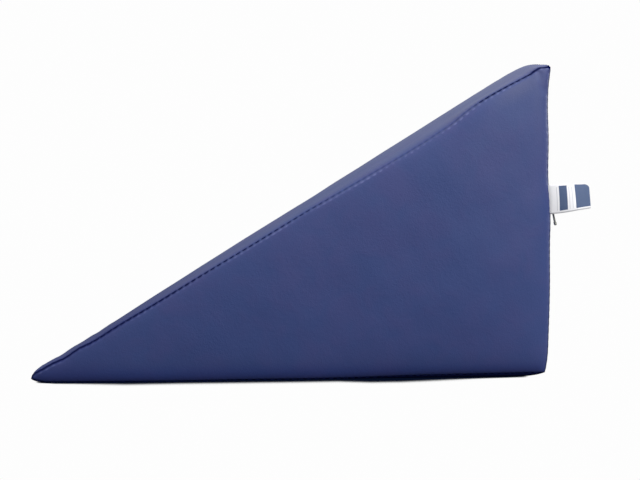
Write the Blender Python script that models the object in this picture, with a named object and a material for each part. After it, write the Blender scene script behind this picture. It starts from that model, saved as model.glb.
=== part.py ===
"""Positioning wedge cushion: a foam wedge in a sewn vinyl cover, with a care label and a zip.

Metres, +Z up. The origin is the middle of the flat base. +X points from the thin edge to the
tall back, and -Y is the side that the care label hangs from.
"""

import math

import bmesh
import bpy
import numpy as np
from mathutils import Matrix, Vector

# Driving dimensions of the cover, seam to seam
LENGTH = 0.500
WIDTH = 0.300
CORNER_HEIGHT = 0.3055
TIP_THICKNESS = 0.0016
EDGE_LIFT_TIP = 0.0036
EDGE_LIFT_BACK = 0.0055

# Where the filled cover swells between its seams
ROLL = 0.0022
ROLL_RADIUS = 0.0034
TIP_ROLL_RADIUS = 0.0136
SIDE_SWELL = 0.0088
SIDE_SWELL_RUN = 0.055
BACK_SWELL = 0.0030
BACK_SWELL_RUN = 0.060
TIP_SWELL = 0.0020
BASE_ROLL_RADIUS = 0.013
SLOPE_SWELL_TIP = 0.0004
SLOPE_SWELL_BACK = 0.0124
SLOPE_SWELL_FULL = 0.88
SLOPE_SWELL_RUN = 0.032
SEAM_BOW = 0.0058
SEAM_BOW_FROM, SEAM_BOW_FULL, SEAM_BOW_TO = 0.78, 0.86, 0.970
SEAM_BOW_RUN = 0.025

# How far the seam down the back's side edge is drawn in, and how fast that fades forwards
BACK_SEAM = (
    # height, drawn_in
    (0.0055, 0.0050),
    (0.0200, 0.0034),
    (0.0450, 0.0026),
    (0.1500, 0.0002),
    (0.1720, 0.0008),
    (0.1950, 0.0030),
    (0.2350, 0.0024),
    (0.2700, 0.0032),
    (0.2900, 0.0018),
    (0.3055, 0.0),
)
BACK_SEAM_RUN = 0.045

# Soft waves along the slope near the thin edge
TIP_WAVES = (
    # from_tip, height, half_width
    (0.014, 0.0006, 0.009),
    (0.031, -0.0014, 0.008),
    (0.060, -0.0016, 0.030),
)

# Distances of the mesh lines from each seam, then their even pitch over the middle
SEAM_STEPS = (0.0, 0.0012, 0.0030, 0.0060, 0.0110, 0.0200, 0.0360)
WAVE_LINES = (0.0145, 0.0255, 0.0310, 0.0410, 0.0460, 0.0520)
LENGTH_PITCH = 0.024
WIDTH_PITCH = 0.038
HEIGHT_PITCH = 0.042

# The zip across the back, in a shallow channel
ZIP_HEIGHT = 0.1700
CHANNEL_DEPTH = 0.0030
CHANNEL_HALF = 0.0065
CHANNEL_EDGE = 0.0015
ZIP_END_INSET = 0.0045
TAPE_HALF = 0.0060
TAPE_THICKNESS = 0.0009
CHAIN_HALF = 0.0026
CHAIN_THICKNESS = 0.0013
SPLIT_HEIGHT = 0.1900
GAP = 0.0003

# The slider, centred this far in from the near side seam, and its pull
SLIDER_INSET = 0.0125
SLIDER_LENGTH = 0.0105
SLIDER_HALF = 0.0042
SLIDER_NOSE_HALF = 0.0030
SLIDER_PLATE = 0.0012
SLIDER_WALL = 0.0010
BRIDGE_SPAN = 0.0072
BRIDGE_WIDTH = 0.0018
BRIDGE_BAR = 0.0011
BRIDGE_OPENING = 0.0020
PULL_TILT = math.radians(8.0)
PULL_ROWS = (
    # down, half_width, eye_half, half_thickness
    (-0.0023, 0.00125, 0.0, 0.00045),
    (-0.0012, 0.00205, 0.0009, 0.00045),
    (-0.0004, 0.00230, 0.0011, 0.00045),
    (0.0022, 0.00230, 0.0011, 0.00045),
    (0.0030, 0.00230, 0.0007, 0.00045),
    (0.0036, 0.00230, 0.0, 0.00045),
    (0.0113, 0.00165, 0.0, 0.00045),
    (0.0165, 0.00200, 0.0, 0.00045),
    (0.0175, 0.00220, 0.0, 0.00080),
    (0.0195, 0.00220, 0.0, 0.00080),
    (0.0205, 0.00140, 0.0, 0.00055),
)

# The care label, a folded ribbon
LABEL_MIDDLE = 0.1748
LABEL_WIDTH = 0.0285
LABEL_REACH = 0.0385
LABEL_LAYER = 0.0010
LABEL_GAP = 0.0010
LABEL_RISE = 0.0040
LABEL_TWIST = math.radians(32.0)
LABEL_OUT = 0.0017
LABEL_CORNER = 0.0030
LABEL_ROOT_GAP = 0.0009
LABEL_STEPS = 12
LABEL_FOLD_STEPS = 6

BACK_X = LENGTH / 2
TIP_X = -LENGTH / 2
SIDE_Y = WIDTH / 2
SLOPE = math.atan2(CORNER_HEIGHT - EDGE_LIFT_TIP - TIP_THICKNESS, LENGTH)
SLOPE_NORMAL = Vector((-math.sin(SLOPE), 0.0, math.cos(SLOPE)))

MATERIALS = {
    # name: (base colour, roughness, metallic)
    "vinyl_navy": ((0.048, 0.058, 0.190), 0.45, 0.0),
    "satin_white": ((0.800, 0.800, 0.820), 0.55, 0.0),
    "tape_navy": ((0.025, 0.030, 0.090), 0.80, 0.0),
    "coil_navy": ((0.020, 0.024, 0.070), 0.40, 0.0),
    "zinc_grey": ((0.420, 0.420, 0.400), 0.35, 1.0),
}


def eased(share):
    """0 to 1, starting and ending level."""
    share = min(max(share, 0.0), 1.0)
    return share * share * (3.0 - 2.0 * share)


def roll(distance, radius):
    """How far a panel has rolled out from its seam: 0 at the seam, 1 from the radius on."""
    near = max(0.0, 1.0 - distance / radius)
    return math.sqrt(max(0.0, 1.0 - near * near))


def settle(distance, run):
    """How far a panel has swelled at a distance from its seam, levelling out after the run."""
    return 1.0 - math.exp(-max(0.0, distance) / run)


def stations(span, pitch):
    """Distances along a span: close together by both seams and even between."""
    inner = span - 2 * SEAM_STEPS[-1]
    count = max(1, round(inner / pitch))
    middle = [SEAM_STEPS[-1] + inner * i / count for i in range(1, count)]
    return [*SEAM_STEPS, *middle, *(span - step for step in reversed(SEAM_STEPS))]


def length_stations():
    """The shares of the length that carry a mesh line, with more of them over the tip's waves."""
    return sorted(x / LENGTH for x in [*stations(LENGTH, LENGTH_PITCH), *WAVE_LINES])


def edge_lift(share):
    """How high the base seams are drawn up from the surface at a share of the length."""
    return EDGE_LIFT_TIP + (EDGE_LIFT_BACK - EDGE_LIFT_TIP) * share


def height_stations():
    """Two lists of heights at the back: up from the base seam, and down from the ridge seam."""
    channel = [
        ZIP_HEIGHT - EDGE_LIFT_BACK + side * reach
        for side, reach in (
            (-1, CHANNEL_HALF + CHANNEL_EDGE),
            (-1, CHANNEL_HALF),
            (1, CHANNEL_HALF),
            (1, CHANNEL_HALF + CHANNEL_EDGE),
        )
    ]
    inner = channel[0] - SEAM_STEPS[-1]
    count = max(1, round(inner / HEIGHT_PITCH))
    middle = [SEAM_STEPS[-1] + inner * i / count for i in range(1, count)]
    lower = [*SEAM_STEPS, *middle, *channel, SPLIT_HEIGHT]
    left = CORNER_HEIGHT - EDGE_LIFT_BACK - SPLIT_HEIGHT
    upper = [left, (left + SEAM_STEPS[-1]) / 2, *reversed(SEAM_STEPS)]
    return lower, upper[1:]


def fitted(distance, room, full_room):
    """A height station moved into the room there is nearer the tip, where the panel is lower."""
    return distance * room / (room + distance * (1.0 - room / full_room))


def seam_bow(share):
    """How far the slope's side seam bows up on its way to the corner."""
    bow = eased((share - SEAM_BOW_FROM) / (SEAM_BOW_FULL - SEAM_BOW_FROM))
    return SEAM_BOW * bow * (1.0 - eased((share - SEAM_BOW_TO) / (1.0 - SEAM_BOW_TO)))


def seam_height(share):
    """Height of the slope's side seam at a share of the length."""
    low = EDGE_LIFT_TIP + TIP_THICKNESS
    wave = sum(
        height * math.exp(-(((share * LENGTH - place) / half) ** 2))
        for place, height, half in TIP_WAVES
    )
    return low + (CORNER_HEIGHT - low) * share + seam_bow(share) + wave


def drawn_in(z):
    """How far the back's side seam is drawn in at a height, easing from row to row."""
    for (low, at_low), (high, at_high) in zip(BACK_SEAM, BACK_SEAM[1:]):
        if z <= high:
            return at_low + (at_high - at_low) * eased((z - low) / (high - low))
    return BACK_SEAM[-1][1]


def slope_height(share, from_side):
    """Height of the slope panel, before the roll at its seams."""
    rise = eased(share / SLOPE_SWELL_FULL)
    swell = SLOPE_SWELL_TIP + (SLOPE_SWELL_BACK - SLOPE_SWELL_TIP) * rise
    bow = seam_bow(share) * settle(from_side, SEAM_BOW_RUN)
    return seam_height(share) - bow + swell * settle(from_side, SLOPE_SWELL_RUN)


def channel_depth(z, from_side):
    """How deep the zip's channel is in the back panel."""
    beside = abs(z - ZIP_HEIGHT) - CHANNEL_HALF
    across = min(max(1.0 - beside / CHANNEL_EDGE, 0.0), 1.0)
    return CHANNEL_DEPTH * across * roll(from_side, ROLL_RADIUS)


def row_height(share, k, from_side, lower, upper):
    """Height of mesh row k of the side or back, rows counted up from the base seam."""
    full, low = CORNER_HEIGHT - EDGE_LIFT_BACK, edge_lift(share)
    split = SPLIT_HEIGHT * (seam_height(share) - seam_bow(share) - low) / full
    if k < len(lower):
        return low + fitted(lower[k], split, SPLIT_HEIGHT)
    top = slope_height(share, from_side)
    room = top - low - split
    return top - fitted(upper[k - len(lower)], room, full - SPLIT_HEIGHT)


def cushion_point(share, y, k, last, lower, upper):
    """A point of the cover, where k 0 is the base panel and k last is the slope panel."""
    from_side = SIDE_Y - abs(y)
    from_tip, from_back = share * LENGTH, (1.0 - share) * LENGTH
    z = row_height(share, k, from_side, lower, upper)
    inset = drawn_in(z) * math.exp(-(from_back + from_side) / BACK_SEAM_RUN)
    point = Vector((TIP_X + from_tip - inset, y, z))
    from_base = z - edge_lift(share)
    from_slope = (slope_height(share, from_side) - z) * math.cos(SLOPE)
    if k == last:
        rolls = roll(from_side, ROLL_RADIUS) * roll(from_back, ROLL_RADIUS)
        return point + SLOPE_NORMAL * ROLL * rolls * roll(from_tip, TIP_ROLL_RADIUS)
    if k == 0:
        lift = roll(from_side, BASE_ROLL_RADIUS) * roll(from_back, BASE_ROLL_RADIUS)
        point.z = z * (1.0 - lift * roll(from_tip, BASE_ROLL_RADIUS))
        return point
    if from_side == 0.0:
        swell = settle(from_base, SIDE_SWELL_RUN) * settle(from_slope, SIDE_SWELL_RUN)
        swell *= SIDE_SWELL * settle(from_back, SIDE_SWELL_RUN)
        rolls = roll(from_base, ROLL_RADIUS) * roll(from_slope, ROLL_RADIUS)
        rolls *= roll(from_back, ROLL_RADIUS) * roll(from_tip, TIP_ROLL_RADIUS)
        point.y += math.copysign(swell + ROLL * rolls, y)
    if from_back == 0.0:
        swell = settle(from_base, BACK_SWELL_RUN) * settle(from_slope, BACK_SWELL_RUN)
        rolls = roll(from_base, ROLL_RADIUS) * roll(from_slope, ROLL_RADIUS)
        side = settle(from_side, BACK_SWELL_RUN)
        point.x += BACK_SWELL * swell * side + ROLL * rolls * roll(from_side, ROLL_RADIUS)
        point.x -= channel_depth(z, from_side)
    if from_tip == 0.0:
        point.x -= TIP_SWELL * settle(from_side, SLOPE_SWELL_RUN)
    return point


def make_cushion():
    """The filled cover: the six sides of a grid, shaped into one closed wedge."""
    shares = length_stations()
    ys = [d - SIDE_Y for d in stations(WIDTH, WIDTH_PITCH)]
    lower, upper = height_stations()
    ends = (len(shares) - 1, len(ys) - 1, len(lower) + len(upper) - 1)
    mesh = bmesh.new()
    made = {}

    def vertex(i, j, k):
        if (i, j, k) not in made:
            place = cushion_point(shares[i], ys[j], k, ends[2], lower, upper)
            if i in (0, ends[0]) or j in (0, ends[1]) or k in (0, ends[2]):
                made[i, j, k] = mesh.verts.new(place)
        return made[i, j, k]

    def side(fixed, at, outward):
        """One side of the grid, where axis number fixed stands at one end."""
        across, along = [axis for axis in range(3) if axis != fixed]
        for p in range(ends[across]):
            for q in range(ends[along]):
                corners = []
                for dp, dq in ((0, 0), (1, 0), (1, 1), (0, 1)):
                    place = [at, at, at]
                    place[across], place[along] = p + dp, q + dq
                    corners.append(vertex(*place))
                mesh.faces.new(corners if outward else corners[::-1])

    for fixed, flip in ((0, False), (1, True), (2, False)):
        side(fixed, ends[fixed], not flip)
        side(fixed, 0, flip)
    return finished("cushion", mesh, "vinyl_navy")


def back_surface(y):
    """X of the channel's floor at Y, read along the cushion's own mesh lines."""
    lines = [d - SIDE_Y for d in stations(WIDTH, WIDTH_PITCH)]
    lower, upper = height_stations()
    k = lower.index(ZIP_HEIGHT - EDGE_LIFT_BACK - CHANNEL_HALF)
    last = len(lower) + len(upper) - 1
    floor = [
        max(cushion_point(1.0, line, row, last, lower, upper).x for row in (k, k + 1))
        for line in lines
    ]
    return float(np.interp(y, lines, floor))


def strip_along_back(name, half, low, high, material):
    """A flat strip across the back, between two heights over the channel's floor."""
    ends = (ZIP_END_INSET - SIDE_Y, SIDE_Y - ZIP_END_INSET)
    lines = [d - SIDE_Y for d in stations(WIDTH, WIDTH_PITCH)]
    ys = [ends[0], *(y for y in lines if ends[0] < y < ends[1]), ends[1]]
    mesh = bmesh.new()
    rings = []
    for y in ys:
        x = back_surface(y)
        corners = ((low, -half), (high, -half), (high, half), (low, half))
        rings.append([mesh.verts.new((x + out, y, ZIP_HEIGHT + z)) for out, z in corners])
    sweep(mesh, rings)
    return finished(name, mesh, material)


def sweep(mesh, rings):
    """Join closed rings of vertices into a solid with two capped ends."""
    for first, second in zip(rings, rings[1:]):
        for n, vertex in enumerate(first):
            m = (n + 1) % len(first)
            mesh.faces.new((vertex, first[m], second[m], second[n]))
    mesh.faces.new(rings[0][::-1])
    mesh.faces.new(rings[-1])
    bmesh.ops.recalc_face_normals(mesh, faces=mesh.faces)


def make_slider():
    """The slider's body over the coil, with a bridge that the pull hangs on."""
    middle = SLIDER_INSET - SIDE_Y
    base = back_surface(middle)
    foot = TAPE_THICKNESS + 2 * GAP
    roof = foot + CHAIN_THICKNESS + 2 * GAP
    top = roof + SLIDER_PLATE
    mesh = bmesh.new()
    rings = []
    for share in (-1.0, 0.2, 1.0):
        narrow = SLIDER_HALF if share < 1.0 else SLIDER_NOSE_HALF + GAP
        inner = narrow - SLIDER_WALL if share < 1.0 else SLIDER_NOSE_HALF - GAP
        section = (
            (foot, -narrow), (top, -narrow), (top, narrow), (foot, narrow),
            (foot, inner), (roof, inner), (roof, -inner), (foot, -inner),
        )
        y = middle + share * SLIDER_LENGTH / 2
        rings.append([mesh.verts.new((base + x, y, ZIP_HEIGHT + z)) for x, z in section])
    sweep(mesh, rings)
    body = finished("zip_slider", mesh, "zinc_grey")
    bridge = bmesh.new()
    half = BRIDGE_SPAN / 2
    inner = half - BRIDGE_BAR
    sink = top - SLIDER_PLATE / 2
    high = top + BRIDGE_OPENING + BRIDGE_BAR
    arch = (
        (sink, -half), (high - BRIDGE_BAR / 2, -half), (high, -half + BRIDGE_BAR / 2),
        (high, half - BRIDGE_BAR / 2), (high - BRIDGE_BAR / 2, half), (sink, half),
        (sink, inner), (top + BRIDGE_OPENING, inner), (top + BRIDGE_OPENING, -inner),
        (sink, -inner),
    )
    rings = [
        [bridge.verts.new((base + x, middle + y, ZIP_HEIGHT + z)) for x, y in arch]
        for z in (-BRIDGE_WIDTH / 2, BRIDGE_WIDTH / 2)
    ]
    sweep(bridge, rings)
    combine(body, finished("bridge_of_slider", bridge, "zinc_grey"), "UNION")
    return body


def combine(body, other, operation):
    """Join another solid to a body, or cut it out of the body, and drop the other."""
    made = body.modifiers.new("combined", "BOOLEAN")
    made.operation = operation
    made.solver = "EXACT"
    made.object = other
    bpy.context.view_layer.update()
    evaluated = body.evaluated_get(bpy.context.evaluated_depsgraph_get())
    result = bpy.data.meshes.new_from_object(evaluated)
    body.modifiers.clear()
    body.data = result
    bpy.data.objects.remove(other, do_unlink=True)


def make_pull():
    """The flat pull, hung by its eye on the near leg of the slider's bridge."""
    middle = SLIDER_INSET - SIDE_Y
    leg = middle - BRIDGE_SPAN / 2 + BRIDGE_BAR / 2
    top = TAPE_THICKNESS + 4 * GAP + CHAIN_THICKNESS + SLIDER_PLATE
    x = back_surface(middle) + top + BRIDGE_OPENING / 2
    place = Matrix.Translation((x, leg, ZIP_HEIGHT)) @ Matrix.Rotation(-PULL_TILT, 4, "Y")
    mesh = bmesh.new()
    rings = []
    for down, half, _, thick in PULL_ROWS:
        corners = ((-thick, -half), (thick, -half), (thick, half), (-thick, half))
        rings.append([mesh.verts.new(place @ Vector((a, b, -down))) for a, b in corners])
    sweep(mesh, rings)
    pull = finished("zip_pull", mesh, "zinc_grey")
    edge = [(eye, -down) for down, _, eye, _ in PULL_ROWS if eye > 0.0]
    outline = [*edge, *((-b, z) for b, z in reversed(edge))]
    hole = bmesh.new()
    rings = [
        [hole.verts.new(place @ Vector((out, b, z))) for b, z in outline]
        for out in (-2 * BRIDGE_BAR, 2 * BRIDGE_BAR)
    ]
    sweep(hole, rings)
    combine(pull, finished("eye_of_pull", hole, "zinc_grey"), "DIFFERENCE")
    return pull


def label_path():
    """The folded ribbon's middle line, as (out, across, heading): out along one layer, round
    the fold, and back along the other."""
    apart = (LABEL_LAYER + LABEL_GAP) / 2
    straight = LABEL_REACH - apart - LABEL_LAYER / 2
    run = [straight * i / LABEL_STEPS for i in range(LABEL_STEPS)]
    turns = [math.pi * i / LABEL_FOLD_STEPS for i in range(LABEL_FOLD_STEPS + 1)]
    fold = [(straight + apart * math.sin(a), -apart * math.cos(a), a) for a in turns]
    out = [(along, -apart, 0.0) for along in run]
    return [*out, *fold, *((along, apart, math.pi) for along in reversed(run))]


def make_label():
    """The care label: a ribbon folded once, twisting as it leaves the seam."""
    mesh = bmesh.new()
    rings = []
    for out, across, heading in label_path():
        share = out / LABEL_REACH
        twist = LABEL_TWIST * eased(share)
        lift = LABEL_RISE * share
        corner = LABEL_CORNER * max(0.0, (out - LABEL_REACH) / LABEL_CORNER + 1.0) ** 2 / 2
        ring = []
        for side, up in ((-1, -1), (1, -1), (1, 1), (-1, 1)):
            thick = side * LABEL_LAYER / 2
            a = out + thick * math.sin(heading)
            b = across - thick * math.cos(heading)
            v = up * LABEL_WIDTH / 2 - (corner if up > 0 else 0.0)
            y = b * math.cos(twist) + v * math.sin(twist)
            z = v * math.cos(twist) - b * math.sin(twist)
            z += LABEL_MIDDLE + lift
            x = BACK_X + LABEL_ROOT_GAP - drawn_in(z) * (1.0 - share) + a
            ring.append(mesh.verts.new((x, y - SIDE_Y - LABEL_OUT, z)))
        rings.append(ring)
    sweep(mesh, rings)
    return finished("care_label", mesh, "satin_white")


def finished(name, mesh, material):
    """Turn a mesh into a named object with its material."""
    bmesh.ops.recalc_face_normals(mesh, faces=mesh.faces)
    data = bpy.data.meshes.new(name)
    mesh.to_mesh(data)
    mesh.free()
    data.materials.append(material_of(material))
    data.shade_smooth()
    data.set_sharp_from_angle(angle=math.radians(35.0))
    made = bpy.data.objects.new(name, data)
    bpy.context.scene.collection.objects.link(made)
    return made


def material_of(name):
    """The named material, made once."""
    if name in bpy.data.materials:
        return bpy.data.materials[name]
    colour, roughness, metallic = MATERIALS[name]
    material = bpy.data.materials.new(name)
    material.use_nodes = True
    shader = material.node_tree.nodes["Principled BSDF"]
    shader.inputs["Base Color"].default_value = (*colour, 1.0)
    shader.inputs["Roughness"].default_value = roughness
    shader.inputs["Metallic"].default_value = metallic
    return material


def main():
    for old in list(bpy.data.objects):
        bpy.data.objects.remove(old, do_unlink=True)
    make_cushion()
    low, high = GAP, GAP + TAPE_THICKNESS
    strip_along_back("zip_tape", TAPE_HALF, low, high, "tape_navy")
    low, high = high + GAP, high + GAP + CHAIN_THICKNESS
    strip_along_back("zip_chain", CHAIN_HALF, low, high, "coil_navy")
    make_slider()
    make_pull()
    make_label()


if __name__ == "__main__":
    main()
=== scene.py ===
"""Dresses the packed positioning wedge cushion: its sewn vinyl cover, stitches, care label and
zip, and the studio around it. Metres, in the frame of the packed model."""

import math

import bpy
import numpy as np
from bpy.props import FloatProperty, FloatVectorProperty, IntProperty, PointerProperty
from mathutils import Matrix, Vector, kdtree
from mathutils.geometry import delaunay_2d_cdt


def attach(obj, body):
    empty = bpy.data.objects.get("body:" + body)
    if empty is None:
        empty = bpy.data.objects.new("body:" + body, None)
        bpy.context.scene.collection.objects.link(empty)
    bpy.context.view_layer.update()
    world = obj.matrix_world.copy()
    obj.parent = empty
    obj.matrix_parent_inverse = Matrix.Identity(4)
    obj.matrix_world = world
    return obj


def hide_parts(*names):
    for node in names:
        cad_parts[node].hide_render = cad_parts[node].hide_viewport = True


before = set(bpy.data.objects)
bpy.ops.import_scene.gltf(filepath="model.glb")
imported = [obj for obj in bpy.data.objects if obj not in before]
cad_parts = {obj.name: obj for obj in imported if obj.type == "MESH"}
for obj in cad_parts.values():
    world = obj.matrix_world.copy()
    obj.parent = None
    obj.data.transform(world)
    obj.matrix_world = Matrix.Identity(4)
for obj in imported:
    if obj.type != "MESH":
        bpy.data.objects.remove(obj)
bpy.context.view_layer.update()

bl_info = {
    "name": "Positioning Wedge Cushion",
    "version": (1, 0, 0),
    "blender": (4, 5, 0),
    "location": "3D View > Sidebar > Wedge Cushion",
    "description": "Sewn vinyl cover, care label, zip and studio for a wedge cushion",
    "category": "Object",
}

BODY = "root"

# How far the seam down the back's side edge is drawn in at each height
BACK_SEAM = (
    # height, drawn_in
    (0.0058, 0.0047), (0.0200, 0.0028), (0.0450, 0.0016), (0.0900, 0.0003), (0.1350, 0.0002),
    (0.1520, -0.0003), (0.1720, 0.0002), (0.1950, 0.0019), (0.2350, 0.0016), (0.2700, 0.0024),
    (0.2880, 0.0015), (0.2970, 0.0003), (0.3055, -0.0011),
)
BACK_SEAM_RUN = 0.045

# Height of the base's side seams, which the floor hides least at the two ends
BASE_SEAM = (
    # share of the length, height
    (0.0, 0.0042), (0.007, 0.0034), (0.020, 0.0021), (0.060, 0.0012), (0.120, 0.0010),
    (0.300, 0.0009), (0.410, 0.0014), (0.520, 0.0016), (0.640, 0.0025), (0.720, 0.0036),
    (0.800, 0.0042), (0.870, 0.0046), (0.930, 0.0050), (1.0, 0.0053),
)

# How far the thin edge waves up and down from its near end to its far end
TIP_LINE = (
    # y, height
    (-0.150, 0.0030), (-0.118, 0.0032), (-0.082, 0.0020), (-0.044, 0.0007), (-0.015, -0.0009),
    (0.028, -0.0017), (0.069, -0.0014), (0.096, -0.0015), (0.131, -0.0027), (0.150, -0.0032),
)

# How far the slope's side seams and its middle stand above a straight line from tip to corner
SEAM_LINE = (
    # share of the length, height
    (0.0, 0.0), (0.020, 0.0002), (0.040, 0.0005), (0.064, -0.0008), (0.090, 0.0004),
    (0.113, -0.0009), (0.157, -0.0003), (0.232, -0.0005), (0.336, 0.0001), (0.413, 0.0001),
    (0.516, 0.0007), (0.637, -0.0006), (0.779, 0.0001), (0.807, 0.0012), (0.832, 0.0039),
    (0.860, 0.0057), (0.888, 0.0058), (0.915, 0.0052), (0.944, 0.0042), (0.960, 0.0038),
    (0.979, 0.0047), (0.990, 0.0022), (1.0, 0.0),
)
CROWN_LINE = (
    # share of the length, height
    (0.0, 0.0), (0.010, 0.0006), (0.030, -0.0011), (0.047, -0.0012), (0.062, -0.0014),
    (0.073, -0.0004), (0.095, 0.0002), (0.120, 0.0010), (0.165, 0.0021), (0.250, 0.0038),
    (0.350, 0.0053), (0.446, 0.0071), (0.500, 0.0075), (0.600, 0.0088), (0.660, 0.0096),
    (0.720, 0.0106), (0.800, 0.0117), (0.840, 0.0127), (0.900, 0.0133), (0.950, 0.0140),
    (0.985, 0.0147), (1.0, 0.0146),
)
CROWN_ACROSS = (
    # distance from the side seam, share of the crown
    (0.0, 0.0), (0.004, 0.100), (0.014, 0.270), (0.026, 0.410), (0.048, 0.680), (0.078, 0.930),
    (0.110, 1.0), (0.150, 1.0),
)

# Plain blocks and bars printed on the label
LABEL_BLOCKS = (
    # near and far along the ribbon, low and high across it
    (0.0096, 0.0176, -0.0118, 0.0128), (0.0258, 0.0470, -0.0120, 0.0140),
)
LABEL_BARS = (
    # middle along the ribbon, half_width
    (0.0073, 0.00035), (0.0197, 0.00030), (0.0227, 0.00030),
)
BAR_HALF = 0.0115

# How far the contact shadow reaches out along the near side
SHADOW_REACH = (
    # share of the length, grey from 0 to 1
    (0.0, 0.0), (0.022, 0.18), (0.045, 0.50), (0.12, 0.612), (0.18, 0.694), (0.29, 0.636),
    (0.52, 0.612), (0.58, 0.587), (0.64, 0.727), (0.70, 0.711), (0.757, 0.604), (0.815, 0.472),
    (0.87, 0.31), (0.93, 0.15), (0.98, 0.0), (1.0, 0.0),
)
SHADOW_DISTANCE = 0.045
WHITE = (1.0, 1.0, 1.0)

# Mesh rows beside each seam: distance from the seam, and every how many seam points
SEAM_ROWS = (
    (0.0004, 1), (0.0009, 1), (0.0015, 1), (0.0022, 1), (0.0031, 1), (0.0043, 2),
    (0.0059, 2), (0.0082, 3), (0.0115, 4),
)
# Mesh rows along the folds over the zip, as shares of a fold's edge
FOLD_ROWS = (-0.6, 0.0, 0.5, 1.0, 1.6)

# What changes along the slope's side seams: its value at the thin edge, then in rows
# change, share of the length where it starts, share over which it comes
# The next four: painted shade in the slope's side seams, whole and in dashes, and how wide it is
SHADE_WHOLE = 0.95, (
    (-0.40, 0.02, 0.16), (-0.55, 0.20, 0.20), (0.5, 0.85, 0.03), (0.5, 0.94, 0.03),
)
SHADE_DASHES = 0.70, ((-0.45, 0.42, 0.26), (0.45, 0.84, 0.03))
SHADE_WIDTH = 0.00098, ((-0.00020, 0.25, 0.30),)
SHADE_WIDER_TOP = 0.0, ((0.00055, 0.955, 0.02),)
# The next two: painted highlights between the stitches beside the slope's side seams
HIGHLIGHT_DASHES = 0.6, ((0.4, 0.60, 0.10),)
HIGHLIGHT_STRENGTH = 0.75, ((0.50, 0.30, 0.25),)
SHOULDER = 0.0, ((1.0, 0.55, 0.35),)
THREAD_SUNK = 0.0, ((1.0, 0.40, 0.30), (-1.0, 0.84, 0.03))
THREAD_OPEN = 0.0, ()

# Small sizes of the cover: its gathers, the painted highlights beside a seam, the painted shade
# at the knot of seams and the dimple (x and z of its ends) by the top corner, the thin edge, and
# the calm band by the zip
GATHER_START, GATHER_REACH, GATHER_WANDER, GATHER_SLANT = 0.003, 0.0065, 0.083, 0.55
HIGHLIGHT_AWAY, HIGHLIGHT_WIDTH = 0.0016, 0.0007
CORNER_KNOT = 0.0030
DIMPLE_ENDS = (0.2385, 0.2985), (0.2445, 0.2815)
DIMPLE_DEPTH, DIMPLE_WIDTH = 0.0017, 0.0032
TIP_SWELL_REACH = 0.012
ZIP_CALM = 0.022

# Wave lengths of each panel's soft unevenness
SIDE_WAVES = (0.16, 0.11, 0.085, 0.06, 0.047, 0.036, 0.027)
SLOPE_WAVES = (0.21, 0.15, 0.11, 0.08, 0.06, 0.045)
BACK_WAVES = (0.17, 0.12, 0.09, 0.065, 0.05, 0.038)

# Threads: mesh points round each, half a stitch as a share of the pitch, how far it stands
# out and sinks as shares of its radius, and the coil's thread as a share of its thickness
RING_POINTS = 6
STITCH_REACH = 0.36
THREAD_LIFT, THREAD_DROP = 0.6, 2.4
COIL_THREAD = 0.24
STITCH_PROFILE = (
    # place along the stitch, thickness, rise
    (-1.0, 0.15, -0.6), (-0.86, 0.7, -0.15), (-0.5, 1.0, 0.1),
    (0.5, 1.0, 0.1), (0.86, 0.7, -0.15), (1.0, 0.15, -0.6),
)
COIL_TURN = (
    # share of the coil's thickness, distance along the zip, distance towards the turn's side
    (0.24, -0.0002, 0.0024), (0.45, 0.0, 0.0024), (0.76, 0.0, 0.0019), (0.76, 0.0, -0.0004),
    (0.50, 0.0001, -0.0009), (0.24, 0.0002, -0.0004), (0.24, 0.0002, 0.0018),
)
# Mesh steps of the label: along each layer, across it, and round its fold
RIBBON_STEPS, RIBBON_ROWS, FOLD_STEPS = 34, 18, 10


def shown(kind, **fixed):
    """A kind of number that the sidebar shows, given by its name, description and default."""

    def made(name, description, default, **limits):
        return kind(name=name, description=description, default=default, **fixed, **limits)

    return made


length = shown(FloatProperty, unit="LENGTH", precision=4)
angle = shown(FloatProperty, subtype="ANGLE", unit="ROTATION")
amount = shown(FloatProperty)
whole_number = shown(IntProperty)
colour = shown(FloatVectorProperty, subtype="COLOR", size=3, min=0.0, max=1.0)
position = shown(FloatVectorProperty, subtype="TRANSLATION", unit="LENGTH", size=3)


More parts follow.
